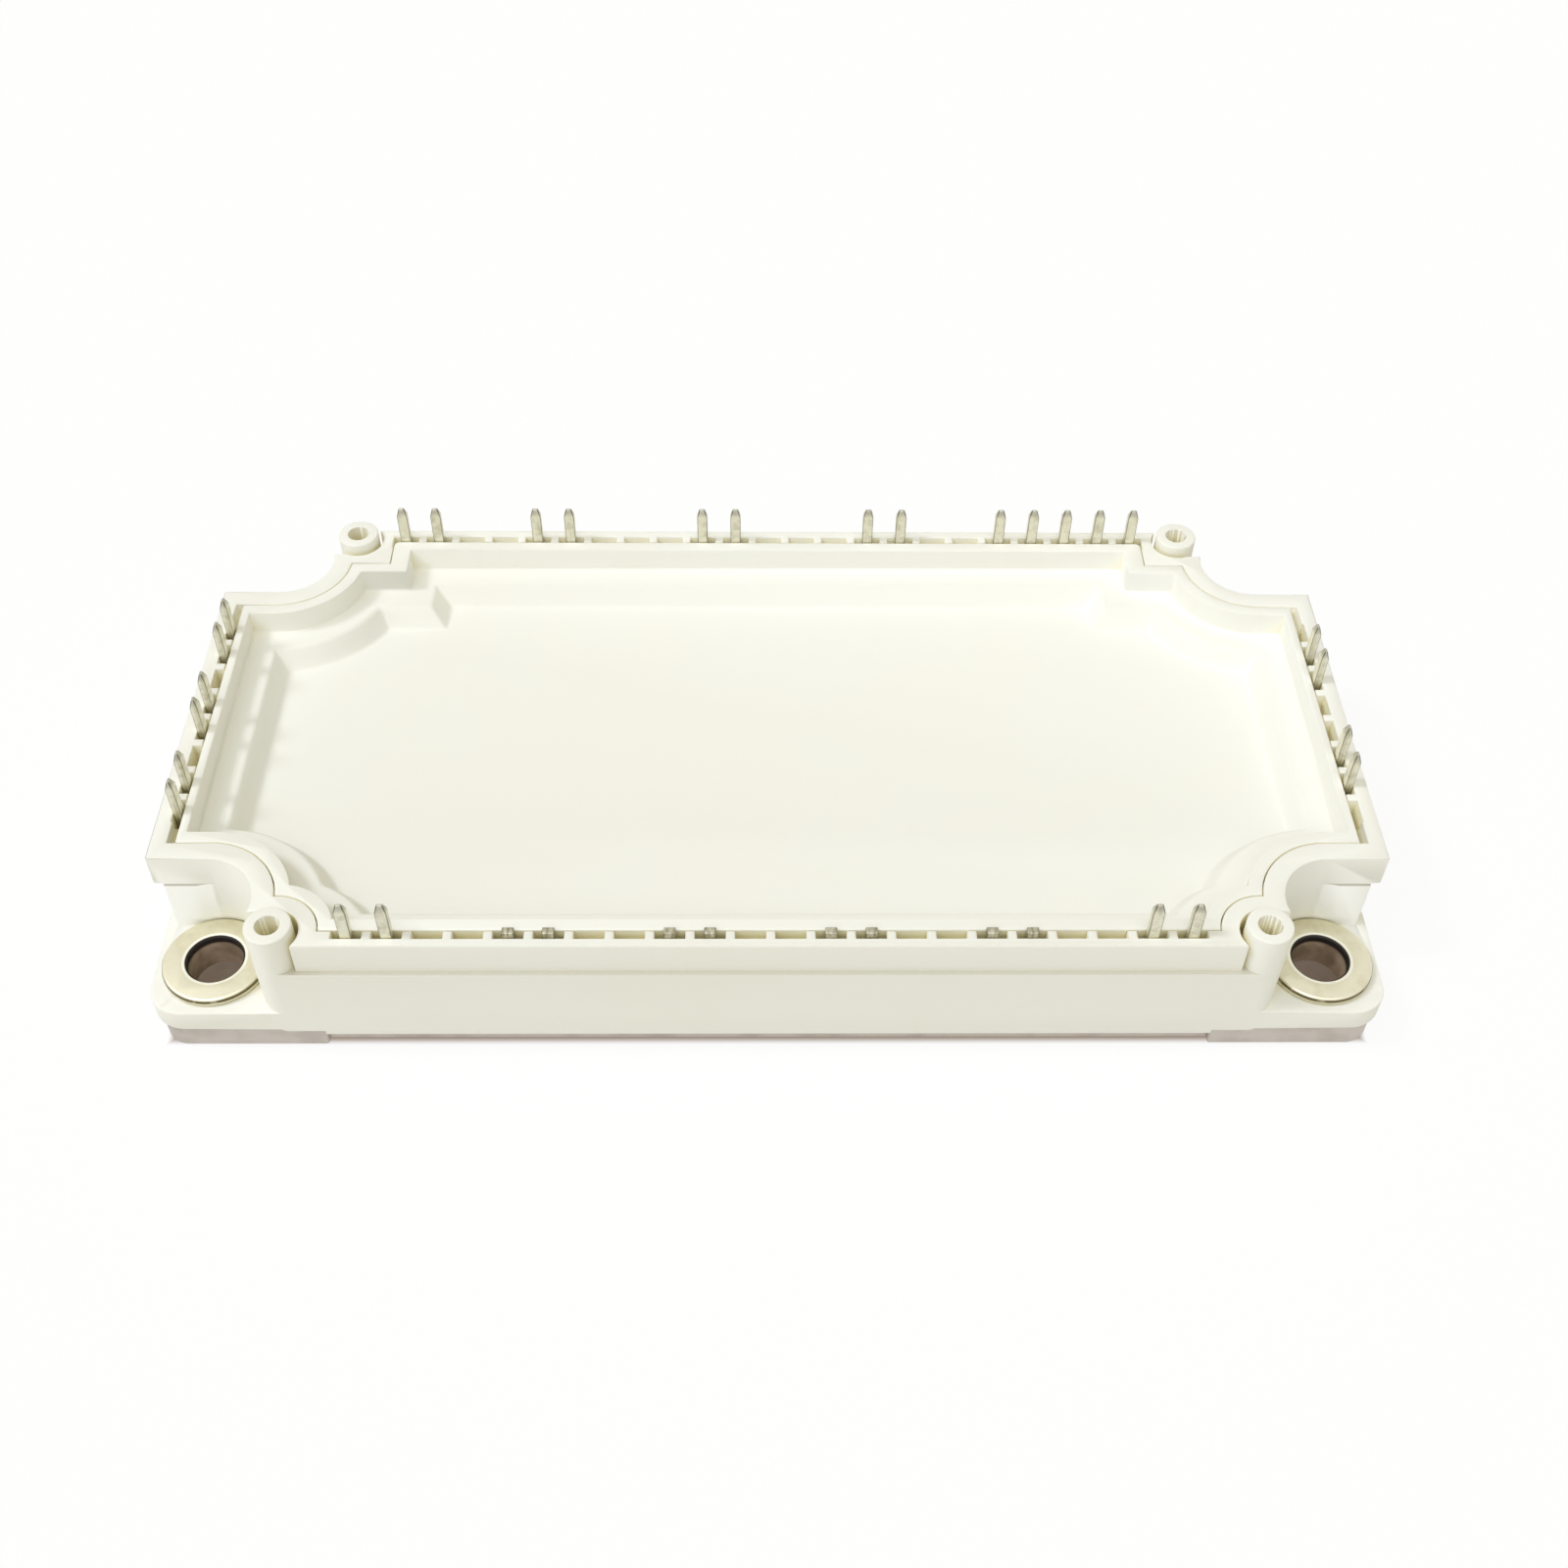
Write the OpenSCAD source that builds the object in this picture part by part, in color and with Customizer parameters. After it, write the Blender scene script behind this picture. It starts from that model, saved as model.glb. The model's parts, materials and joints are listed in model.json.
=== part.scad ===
// Power semiconductor module: a metal base plate under a moulded housing, closed by an inset lid,
// with solder pins along all four sides.
// The origin is the centre of the base plate's underside. +X runs along the long side, to the right,
// +Y runs to the back and +Z runs up, towards the circuit board that the pins are soldered to.

/* [Housing] */
// Overall length of the housing
body_length = 122; // [118:0.5:130]
// Overall width of the housing
body_width = 62; // [58:0.5:68]
// Height of the rim above the underside of the base plate
rim_height = 16; // [15:0.25:19]
// Height of the upper band of the outer walls
band_height = 3.8; // [2.5:0.1:5]
// How far the long walls stand out below the band
band_step = 0.5; // [0.2:0.1:1]
// How far the band hangs over the wall on the short sides
end_overhang = 1; // [0.2:0.1:1.1]
// How far the walls of the corner notches stand out below the band
notch_step = 0.3; // [0.1:0.1:1]
// Wall outside the pin slots on the long sides
long_wall = 1; // [0.8:0.1:1.6]
// Wall outside the pin slots on the short sides
end_wall = 1.5; // [1.3:0.1:2.2]
// Wall between a corner notch and the lid
notch_wall = 2.1; // [1.2:0.1:2.6]
// Width of the inner shelf that the lid rests on
seat_width = 1.6; // [1:0.1:2.2]
// Depth of the shelf below the rim
seat_depth = 4; // [3.6:0.1:4.4]

/* [Mounting ears] */
// Height of the ears above the base plate
ear_height = 3; // [2:0.25:4]
// Corner radius of the ears
ear_corner_r = 3.5; // [1:0.5:5]
// How far an ear runs on along the short side, past its notch
ear_run = 1.5; // [0.5:0.25:3]
// Undercut along the ears' lower edge
ear_undercut = 0.4; // [0.2:0.1:0.8]
// Distance of the mounting holes from the ends of the housing
hole_inset_x = 6; // [5.6:0.1:7]
// Distance of the mounting holes from the long sides of the housing
hole_inset_y = 6; // [5.6:0.1:7]

/* [Mounting bushes] */
// Bore of the bushes and of the base plate's holes
bore_d = 5.5; // [4.5:0.1:6]
// Diameter of a bush's flange
flange_d = 10.4; // [9:0.1:11]
// Thickness of a bush's flange
flange_t = 1; // [0.6:0.1:2]
// Diameter of a bush's sleeve
sleeve_d = 7.6; // [7:0.1:8.4]
// Chamfer on the edges of a bush
bush_chamfer = 0.2; // [0.1:0.05:0.25]
// Clearance between a flange and its notch
flange_gap = 0.1; // [0.05:0.05:0.4]
// Clearance between a sleeve and its ear
sleeve_gap = 0.03; // [0.02:0.01:0.1]

/* [Board posts] */
// Diameter of the screw posts for the circuit board
post_d = 4.5; // [4:0.1:5]
// Distance of the posts from the ends of the housing
post_inset_x = 13.75; // [13:0.05:14.5]
// Height of the posts above the rim
post_rise = 1; // [0.5:0.1:2]
// Screw hole in a post
post_hole_d = 2.25; // [1.8:0.05:2.6]
// Depth of the screw hole
post_hole_depth = 8.5; // [5:0.25:9]
// Lead-in chamfer of the screw hole
post_chamfer = 0.1; // [0.05:0.05:0.4]
// Clear space round a post, above the ledge that it rises from
post_gap = 0.45; // [0.3:0.05:0.8]
// Wall round the clear space of a front post
post_wall = 1.7; // [0.8:0.1:1.8]
// Half-width of the square corner that holds a back post
post_block = 4; // [3.6:0.05:4.2]
// Radius of the lid's corner beside that square corner
block_corner_r = 0.7; // [0.3:0.1:1]

/* [Lid] */
// Gap round the lid
lid_gap = 0.1; // [0.05:0.05:0.3]
// Width of the lid's rim on the long sides and in the corners
lid_rim = 1.5; // [1:0.1:2]
// Width of the lid's rim on the short sides
lid_end_rim = 1; // [0.8:0.1:2]
// Width of the lid's rim beside the square back corners
block_rim = 2.1; // [1.5:0.1:2.4]
// Depth of the lid's ledge below the rim
ledge_depth = 2.8; // [1.5:0.1:3.2]
// Width of the lid's ledge
ledge_width = 2.8; // [1:0.1:4]
// Depth of the lid's floor below its ledge
floor_depth = 2.4; // [1:0.1:3]
// How far the wall between ledge and floor leans in
floor_lean = 1.3; // [0.5:0.1:2]
// The same lean beside the square back corners
block_lean = 1.6; // [0.5:0.1:2]
// Thickness of the lid's floor
lid_skin = 1.5; // [1:0.1:2]

/* [Base plate] */
// Thickness of the base plate
plate_t = 3; // [2:0.25:4]
// How far the housing reaches past the base plate
plate_margin = 0.6; // [0.4:0.1:1.5]
// Corner radius of the base plate
plate_corner_r = 2.5; // [1:0.5:5]
// Depth of the recess in the base plate's long edges
plate_recess = 0.7; // [0.3:0.1:1.2]
// How far the long walls reach down in front of the base plate
skirt_drop = 0.5; // [0.2:0.1:1.5]
// Distance of the recess's ends from the posts
skirt_end = 3.3; // [2.5:0.1:5]
// Clearance between a skirt and the base plate
skirt_gap = 0.1; // [0.05:0.05:0.3]

/* [Pins] */
// Spacing of the pin slots
pin_pitch = 3.81; // [3.6:0.01:3.9]
// Width of a pin
pin_width = 1.15; // [0.8:0.05:1.4]
// Thickness of a pin
pin_t = 0.8; // [0.6:0.05:0.85]
// Height of the pins above the rim
pin_rise = 4.4; // [3:0.1:6]
// Height above the rim of the short pins in the middle of the front row
stub_rise = 0.6; // [0.3:0.1:1]
// Length of the tapered tip of a pin
tip_length = 0.9; // [0.3:0.1:1.5]
// How far each side of the tip leans in
tip_lean = 0.28; // [0.04:0.04:0.28]
// Width of the pin slots
slot_width = 0.9; // [0.87:0.01:1.1]
// Plastic left between two slots
slot_rib = 0.9; // [0.6:0.1:1.4]
// Depth of the pin slots
slot_depth = 3.4; // [2:0.1:3.5]
// Width of the groove that runs on from the end slots of the short sides
groove_width = 0.7; // [0.3:0.1:0.8]
// Depth of that groove
groove_depth = 1.2; // [0.5:0.1:2]
// Height of the inner ledge that carries the pins' feet, above the base plate
foot_ledge_height = 3; // [2:0.25:4]
// Reach of that ledge from the lid's seam
foot_ledge_reach = 4; // [3.5:0.1:4.2]
// How far a pin's foot stands above its ledge
foot_rise = 0.4; // [0.1:0.1:0.6]
// Plastic left between a pin's foot and the ledge's edge
foot_margin = 0.4; // [0.2:0.1:1]

/* [Power circuit] */
// Length of one ceramic substrate
substrate_l = 31; // [26:0.5:31]
// Width of one ceramic substrate
substrate_w = 38; // [34:0.5:38]
// Gap between two substrates
substrate_gap = 1; // [0.5:0.25:2]
// Solder under a substrate
solder_t = 0.2; // [0.1:0.05:0.3]
// Copper on each face of a substrate
copper_t = 0.3; // [0.2:0.05:0.4]
// Thickness of the ceramic
ceramic_t = 0.4; // [0.3:0.05:0.7]
// Bare ceramic round the copper
copper_margin = 1; // [0.5:0.1:1.5]
// Gap between two copper tracks
track_gap = 0.8; // [0.5:0.1:1.2]
// Width of the gate track along the back of a substrate
gate_track = 3.2; // [2.8:0.1:3.6]
// Width of the emitter track along the front of a substrate
emitter_track = 9.7; // [9:0.1:10]
// Side of a square transistor chip
transistor_side = 7.5; // [6:0.1:8]
// Side of a square rectifier chip
rectifier_side = 7; // [5:0.1:7.2]
// Width of a freewheeling diode chip
diode_w = 6.5; // [4:0.1:7]
// Length of a freewheeling diode chip
diode_l = 5; // [3:0.1:5.5]
// Thickness of the chips
chip_t = 0.2; // [0.1:0.05:0.3]
// Thickness of a bond wire
wire_t = 0.4; // [0.2:0.05:0.5]
// Rise of a bond wire's loop
wire_rise = 1; // [0.6:0.1:1.2]
// Length of a bond wire's flat foot
wire_foot = 0.6; // [0.4:0.1:0.8]
// Length of the temperature sensor
sensor_l = 3.2; // [2:0.1:4]
// Diameter of the temperature sensor
sensor_d = 1.6; // [1:0.1:1.8]
// Air left between the soft gel and the lid
gel_gap = 0.7; // [0.4:0.1:1]

/* [Hidden] */
$fn = 64;
far = 200;                    // longer than the module, for cuts that run out of it
cut = 1;                      // how far a cut runs past a face that it opens

// Levels, from the underside of the base plate
lower_top = rim_height - band_height;
seat_z = rim_height - seat_depth;
lid_ledge_z = rim_height - ledge_depth;
lid_floor_z = lid_ledge_z - floor_depth;
ear_top = plate_t + ear_height;
post_top = rim_height + post_rise;
slot_floor_z = rim_height - slot_depth;
foot_ledge_z = plate_t + foot_ledge_height;
foot_top = foot_ledge_z + foot_rise;
ceramic_z = plate_t + solder_t + copper_t;
track_z = ceramic_z + ceramic_t;
track_top = track_z + copper_t;
chip_top = track_top + chip_t;
gel_top = lid_floor_z - lid_skin - gel_gap;

// Places in plan, all for the corner at +X +Y
hole_x = body_length / 2 - hole_inset_x;
hole_y = body_width / 2 - hole_inset_y;
post_x = body_length / 2 - post_inset_x;
post_y = body_width / 2 - post_d / 2;
row_y = body_width / 2 - band_step - long_wall - slot_width / 2;
column_x = body_length / 2 - end_wall - slot_width / 2;
seam_x = column_x - slot_width / 2;
seam_y = row_y - slot_width / 2;
skirt_x = post_x - skirt_end;
notch_r = flange_d / 2 + flange_gap;
seam_r = notch_r + notch_wall;
post_seam_r = post_d / 2 + post_gap + post_wall;

// Slots: an even number in front and at the ends, an odd number at the back
slot_length = pin_pitch - slot_rib;
front_last = floor((post_x - post_seam_r - slot_rib - slot_length / 2) / pin_pitch + 0.5) - 0.5;
back_last = floor((post_x - post_d / 2 - post_gap - slot_rib / 2 - slot_length / 2) / pin_pitch);
end_last = floor((hole_y - seam_r - slot_rib - slot_length / 2) / pin_pitch + 0.5) - 0.5;

// Pins, in steps of the pitch from the middle of their side
front_steps = within([-10.5, -9.5, -6.5, -5.5, -2.5, -1.5, 1.5, 2.5, 5.5, 6.5, 9.5, 10.5], front_last);
back_steps = within([-11, -10, -7, -6, -2, -1, 3, 4, 7, 8, 9, 10, 11], back_last);
left_steps = within([3.5, 2.5, 0.5, -0.5, -2.5, -3.5], end_last);
right_steps = within([2.5, 1.5, -1.5, -2.5], end_last);
stub_last = 6.5;

function within(steps, last) = [for (s = steps) if (abs(s) <= last) s];

// Each pin is [name, x, y, turn, rise]; at turn 0 its foot points to the back
pins = concat(
    [for (i = [0 : len(front_steps) - 1])
        [str("pin_front_", i + 1), front_steps[i] * pin_pitch, -row_y, 0,
            abs(front_steps[i]) <= stub_last ? stub_rise : pin_rise]],
    [for (i = [0 : len(back_steps) - 1])
        [str("pin_back_", i + 1), back_steps[i] * pin_pitch, row_y, 180, pin_rise]],
    [for (i = [0 : len(left_steps) - 1])
        [str("pin_left_", i + 1), -column_x, left_steps[i] * pin_pitch, -90, pin_rise]],
    [for (i = [0 : len(right_steps) - 1])
        [str("pin_right_", i + 1), column_x, right_steps[i] * pin_pitch, 90, pin_rise]]
);

// Power circuit: three substrates side by side, each with three columns of chips
sides = ["left", "middle", "right"];
substrate_step = substrate_l + substrate_gap;
column_step = (substrate_l - 2 * copper_margin + track_gap) / 3;
track_l = substrate_l - 2 * copper_margin;
track_back = substrate_w / 2 - copper_margin;
plate_back = track_back - gate_track - track_gap;
plate_front = -track_back + emitter_track + track_gap;
transistor_y = plate_back - track_gap - transistor_side / 2;
diode_y = plate_front + track_gap * 2 + diode_l / 2;
emitter_y = -track_back + emitter_track / 2;

// Corners of the module, as the two mirrorings that reach them
quadrants = [[0, 0], [1, 0], [0, 1], [1, 1]];
corner_names = ["front_left", "front_right", "back_left", "back_right"];

// ---------- shapes shared by several pieces ----------

module at_corners() {
    for (q = quadrants) mirror([q[0], 0, 0]) mirror([0, q[1], 0]) children();
}

module rounded_rectangle(length, width, r) {
    square([length - 2 * r, width], center = true);
    square([length, width - 2 * r], center = true);
    for (x = [-1, 1], y = [-1, 1]) translate([x * (length / 2 - r), y * (width / 2 - r)]) circle(r);
}

// A round corner with straight sides that run on outwards, to +X and +Y
module round_keep_out(r) {
    circle(r);
    translate([0, -r]) square([far, far]);
    translate([-r, 0]) square([far, far]);
}

// What rounding takes off a sharp corner that points to +X +Y
module corner_waste(r) {
    translate([-r, -r]) difference() {
        square([r + cut, r + cut]);
        circle(r);
    }
}

// Outline inside the housing, this far in from the seam of the lid. The corners step round the
// mounting notches and the posts: round ones in front, and square ones at the back of the lid.
module well(inset, ends = 0, at_hole = 0, at_post = 0, beside = 0, corner_r = 0, square_backs = true) {
    block_x = post_x - post_block - at_post - beside;
    difference() {
        square([2 * (seam_x - inset + ends), 2 * (seam_y - inset)], center = true);
        at_corners() translate([hole_x, hole_y]) round_keep_out(seam_r + at_hole);
        for (q = quadrants) mirror([q[0], 0]) mirror([0, q[1]]) {
            if (q[1] == 0 && square_backs) {
                translate([block_x, post_y - post_block - at_post]) square([far, far]);
                if (corner_r > 0) translate([block_x, seam_y - inset]) corner_waste(corner_r);
            } else {
                translate([post_x, post_y]) round_keep_out(post_seam_r + at_post);
            }
        }
    }
}

// ---------- base plate and bushes ----------

module plate_outline() {
    difference() {
        rounded_rectangle(body_length - 2 * plate_margin, body_width - 2 * plate_margin, plate_corner_r);
        for (side = [-1, 1])
            translate([0, side * (body_width / 2 - plate_margin)])
                square([2 * skirt_x, 2 * plate_recess], center = true);
    }
}

module base_plate() {
    color("rosybrown") difference() {
        linear_extrude(plate_t) plate_outline();
        at_corners() translate([hole_x, hole_y, -cut]) cylinder(h = plate_t + 2 * cut, d = bore_d);
    }
}

// A turned bush: a sleeve through the ear, down to the base plate, under a flange
module bush() {
    c = bush_chamfer;
    top = ear_top + flange_t;
    color("khaki") rotate_extrude() polygon([
        [bore_d / 2, plate_t], [sleeve_d / 2, plate_t], [sleeve_d / 2, ear_top],
        [flange_d / 2 - c, ear_top], [flange_d / 2, ear_top + c],
        [flange_d / 2, top - c], [flange_d / 2 - c, top],
        [bore_d / 2 + c, top], [bore_d / 2, top - c]
    ]);
}

module bush_at(i) {
    side = i % 2 == 0 ? -1 : 1;
    depth = i < 2 ? -1 : 1;
    translate([side * hole_x, depth * hole_y, 0]) bush();
}

// ---------- pins ----------

// Side view of a pin, bent at the bottom into a foot that points to +X of the drawing
module pin_side(rise, reach) {
    t = pin_t / 2;
    top = rim_height + rise;
    taper = rise == pin_rise ? tip_length : 0;
    lean = rise == pin_rise ? tip_lean : 0;
    heel = foot_top - pin_t;
    polygon([
        [-t, heel + pin_t], [0, heel], [reach, heel], [reach, foot_top],
        [t + pin_t, foot_top], [t, foot_top + pin_t], [t, top - taper],
        [t - lean, top], [lean - t, top], [-t, top - taper]
    ]);
}

module pin_front(rise) {
    w = pin_width / 2;
    top = rim_height + rise;
    taper = rise == pin_rise ? tip_length : 0;
    lean = rise == pin_rise ? tip_lean : 0;
    polygon([
        [-w, plate_t], [w, plate_t], [w, top - taper], [w - lean, top], [lean - w, top], [-w, top - taper]
    ]);
}

module pin(p) {
    reach = slot_width / 2 + foot_ledge_reach - foot_margin;
    color("silver") translate([p[1], p[2], 0]) rotate(p[3]) intersection() {
        rotate([90, 0, 90]) linear_extrude(pin_width, center = true) pin_side(p[4], reach);
        rotate([90, 0, 0]) linear_extrude(far, center = true) pin_front(p[4]);
    }
}

// ---------- housing ----------

// The upper band, cut back round each bush and clear of each post
module band_outline() {
    difference() {
        square([body_length, body_width - 2 * band_step], center = true);
        at_corners() {
            translate([hole_x, hole_y]) {
                circle(notch_r);
                translate([0, -notch_r]) square([far, far]);
            }
            translate([post_x, post_y]) {
                circle(post_d / 2 + post_gap);
                translate([0, -post_d / 2 - post_gap / 2]) square([far, far]);
            }
        }
    }
}

// The walls below the band; their rounded corners are the posts
module wall_outline() {
    difference() {
        square([body_length - 2 * end_overhang, body_width], center = true);
        at_corners() {
            translate([hole_x, hole_y]) {
                circle(notch_r);
                translate([0, notch_step - notch_r]) square([far, far]);
            }
            translate([post_x, post_y]) square([far, far]);
            translate([post_x + post_d / 2, hole_y]) square([far, far]);
        }
    }
    at_corners() translate([post_x, post_y]) circle(d = post_d);
}

module ears_outline() {
    intersection() {
        rounded_rectangle(body_length, body_width, ear_corner_r);
        at_corners() translate([post_x - post_d, hole_y - notch_r - ear_run]) square([far, far]);
    }
}

module housing_shell() {
    translate([0, 0, lower_top]) linear_extrude(band_height) band_outline();
    translate([0, 0, plate_t]) linear_extrude(lower_top - plate_t) wall_outline();
    translate([0, 0, plate_t + ear_undercut]) linear_extrude(ear_height - ear_undercut) ears_outline();
    translate([0, 0, plate_t]) linear_extrude(ear_undercut) intersection() {
        ears_outline();
        plate_outline();
    }
    for (side = [-1, 1])
        translate([-skirt_x + skirt_gap, -body_width / 2, plate_t - skirt_drop])
            mirror([0, side < 0 ? 0 : 1, 0]) translate([0, side < 0 ? 0 : -body_width, 0])
                cube([2 * (skirt_x - skirt_gap), plate_margin + plate_recess - skirt_gap, skirt_drop]);
    at_corners() translate([post_x, post_y, plate_t + ear_undercut])
        cylinder(h = post_top - plate_t - ear_undercut, d = post_d);
}

// Space inside the walls: the lid's pocket, the main chamber and the narrower foot of the chamber
module housing_chambers() {
    translate([0, 0, seat_z]) linear_extrude(seat_depth + cut) well(0, corner_r = block_corner_r);
    translate([0, 0, foot_ledge_z]) linear_extrude(seat_z - foot_ledge_z + cut)
        well(seat_width, at_hole = seat_width, square_backs = false);
    translate([0, 0, plate_t - cut]) linear_extrude(foot_ledge_height + 2 * cut)
        well(foot_ledge_reach, at_hole = seat_width, square_backs = false);
}

module slot_at(x, y, turn) {
    translate([x, y, slot_floor_z]) rotate(turn)
        translate([-slot_length / 2, -slot_width / 2, 0])
            cube([slot_length, slot_width + cut, slot_depth + cut]);
}

module pin_slots() {
    for (s = [-front_last : front_last]) slot_at(s * pin_pitch, -row_y, 0);
    for (s = [-back_last : back_last]) slot_at(s * pin_pitch, row_y, 180);
    for (s = [-end_last : end_last]) {
        slot_at(-column_x, s * pin_pitch, -90);
        slot_at(column_x, s * pin_pitch, 90);
    }
}

module corner_grooves() {
    groove_start = end_last * pin_pitch;
    at_corners() translate([seam_x - cut, groove_start, rim_height - groove_depth])
        cube([groove_width + cut, hole_y - seam_r - groove_start, groove_depth + cut]);
}

module post_hole() {
    depth = post_hole_depth;
    rotate_extrude() polygon([
        [0, -depth], [post_hole_d / 2, -depth], [post_hole_d / 2, -post_chamfer],
        [post_hole_d / 2 + post_chamfer + cut, cut], [0, cut]
    ]);
}

module housing() {
    color("ivory") difference() {
        housing_shell();
        housing_chambers();
        pin_slots();
        corner_grooves();
        for (p = pins) pin(p);
        at_corners() translate([hole_x, hole_y, 0]) cylinder(h = rim_height, d = sleeve_d + 2 * sleeve_gap);
        at_corners() translate([post_x, post_y, post_top]) post_hole();
    }
}

// ---------- lid ----------

// Side view of a leaning wall: everything beyond -foot at the bottom and -top at the top
module leaning_side(foot, top, height) {
    polygon([[-foot, 0], [-top, height], [-top, height + cut], [far, height + cut], [far, 0]]);
}

module leaning_round(foot, top, height) {
    cylinder(h = height, r1 = foot, r2 = top);
    cylinder(h = height + cut, r = top);
    rotate([90, 0, 90]) linear_extrude(far) leaning_side(foot, top, height);
    rotate([90, 0, 0]) translate([0, 0, -far]) linear_extrude(far) leaning_side(foot, top, height);
}

// The walls on its two sides lean by their own amounts
module leaning_block(foot_x, top_x, foot_y, top_y, height) {
    intersection() {
        rotate([90, 0, 0]) linear_extrude(2 * far, center = true) leaning_side(foot_x, top_x, height);
        rotate([90, 0, 90]) linear_extrude(2 * far, center = true) leaning_side(foot_y, top_y, height);
    }
}

// Section of the tray's lower step, with its straight top running up past the ledge
module tray_section(half, height) {
    polygon([
        [floor_lean - half, 0], [half - floor_lean, 0], [half, height],
        [half, height + cut], [-half, height + cut], [-half, height]
    ]);
}

// The lower step of the lid's tray, whose walls lean in towards the floor
module tray_floor_space() {
    inset = lid_rim + ledge_width;
    foot = inset + floor_lean;
    height = floor_depth;
    x = seam_x - inset + lid_rim - lid_end_rim;
    y = seam_y - inset;
    block_top = post_block + inset;
    block_side = block_top + block_rim - lid_rim;
    translate([0, 0, lid_floor_z]) difference() {
        intersection() {
            rotate([90, 0, 0]) linear_extrude(far, center = true) tray_section(x, height);
            rotate([90, 0, 90]) linear_extrude(far, center = true) tray_section(y, height);
        }
        at_corners() translate([hole_x, hole_y, 0]) leaning_round(seam_r + foot, seam_r + inset, height);
        for (q = quadrants) mirror([q[0], 0, 0]) mirror([0, q[1], 0]) translate([post_x, post_y, 0]) {
            if (q[1] == 0)
                leaning_block(block_side + block_lean, block_side, block_top + floor_lean, block_top, height);
            else
                leaning_round(post_seam_r + foot, post_seam_r + inset, height);
        }
    }
}

module lid() {
    tub_inset = lid_rim + ledge_width - lid_skin;
    tub_z = lid_floor_z - lid_skin;
    end_out = lid_rim - lid_end_rim;
    beside = block_rim - lid_rim;
    color("floralwhite") difference() {
        union() {
            translate([0, 0, seat_z]) linear_extrude(seat_depth)
                well(lid_gap, at_hole = lid_gap, at_post = lid_gap, corner_r = block_corner_r - lid_gap);
            translate([0, 0, tub_z]) linear_extrude(seat_z - tub_z)
                well(tub_inset, at_hole = tub_inset, at_post = tub_inset, beside = beside);
        }
        translate([0, 0, lid_ledge_z]) linear_extrude(ledge_depth + cut)
            well(lid_rim, ends = end_out, at_hole = lid_rim, at_post = lid_rim, beside = beside);
        tray_floor_space();
    }
}

// ---------- power circuit ----------

module on_substrate(i) {
    translate([(i - 1) * substrate_step, 0, 0]) children();
}

module centred_box(l, w, t) {
    translate([-l / 2, -w / 2, 0]) cube([l, w, t]);
}

// A copper track from one Y to the other, in one column or over all three
module track(column, y1, y2) {
    l = column == undef ? track_l : column_step - track_gap;
    x = column == undef ? 0 : (column - 1) * column_step;
    translate([x - l / 2, y1, track_z]) cube([l, y2 - y1, copper_t]);
}

module copper_tracks(i) {
    split_plate = i != 1;
    split_emitter = i != 2;
    color("sandybrown") on_substrate(i) {
        for (c = [0 : 2]) track(c, plate_back + track_gap, track_back);
        if (split_plate) for (c = [0 : 2]) track(c, plate_front, plate_back);
        else track(undef, plate_front, plate_back);
        if (split_emitter) for (c = [0 : 2]) track(c, -track_back, -track_back + emitter_track);
        else track(undef, -track_back, -track_back + emitter_track);
    }
}

module ceramic(i) {
    color("white") on_substrate(i) translate([0, 0, ceramic_z])
        centred_box(substrate_l, substrate_w, ceramic_t);
}

module solder_layers() {
    color("gray") for (i = [0 : 2]) on_substrate(i) translate([0, 0, plate_t])
        centred_box(track_l, 2 * track_back, solder_t);
}

module copper_backs() {
    color("peru") for (i = [0 : 2]) on_substrate(i) translate([0, 0, plate_t + solder_t])
        centred_box(track_l, 2 * track_back, copper_t);
}

module chip(i, column, y, l, w) {
    on_substrate(i) translate([(column - 1) * column_step, y, track_top]) centred_box(l, w, chip_t);
}

// Six inverter transistors on the middle and right substrates, and the brake's on the left
module transistor_chips() {
    color("dimgray") {
        for (i = [1, 2], c = [0 : 2]) chip(i, c, transistor_y, transistor_side, transistor_side);
        chip(0, 0, emitter_y, transistor_side, transistor_side);
    }
}

module diode_chips() {
    color("slategray") {
        for (i = [1, 2], c = [0 : 2]) chip(i, c, diode_y, diode_w, diode_l);
        chip(0, 1, emitter_y, diode_w, diode_l);
    }
}

module rectifier_chips() {
    color("darkslategray") for (c = [0 : 2], y = [transistor_y, diode_y])
        chip(0, c, y, rectifier_side, rectifier_side);
}

module temperature_sensor() {
    x = column_step - sensor_l / 2;
    color("black") on_substrate(0) translate([x, emitter_y, track_top + sensor_d / 2])
        rotate([0, 90, 0]) cylinder(h = sensor_l, d = sensor_d);
}

// A bond wire from a to b, each [x, y, z]: a flat foot at each end and a low loop between them
module bond(a, b) {
    d = b - a;
    run = norm([d[0], d[1]]);
    f = wire_foot;
    r = wire_rise;
    t = wire_t;
    translate(a) rotate(atan2(d[1], d[0])) rotate([90, 0, 0]) linear_extrude(t, center = true) polygon([
        [-f / 2, 0], [f / 2, 0], [f / 2 + r, r], [run - f / 2 - r, r],
        [run - f / 2, d[2]], [run + f / 2, d[2]], [run + f / 2, d[2] + t],
        [run - f / 2, d[2] + t], [run - f / 2 - r + t, r + t],
        [f / 2 + r - t, r + t], [f / 2 - t / 2, t], [-f / 2, t]
    ]);
}

// Where a pin's bond wire lands: on the copper nearest to it
function nearest_side(x) = max(-1, min(1, round(x / substrate_step)));
function within_track(x) =
    let (middle = nearest_side(x) * substrate_step, reach = track_l / 2 - wire_foot / 2)
    max(middle - reach, min(middle + reach, x));
function landing(p) =
    p[3] == 0 || p[3] == 180
        ? [within_track(p[1]), sign(p[2]) * (track_back - wire_foot / 2), track_top]
        : [within_track(p[1]), p[2], track_top];
function pin_foot_point(p) =
    let (reach = slot_width / 2 + foot_ledge_reach - foot_margin - wire_foot)
    [p[1] - sin(p[3]) * reach, p[2] + cos(p[3]) * reach, foot_top];

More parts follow.
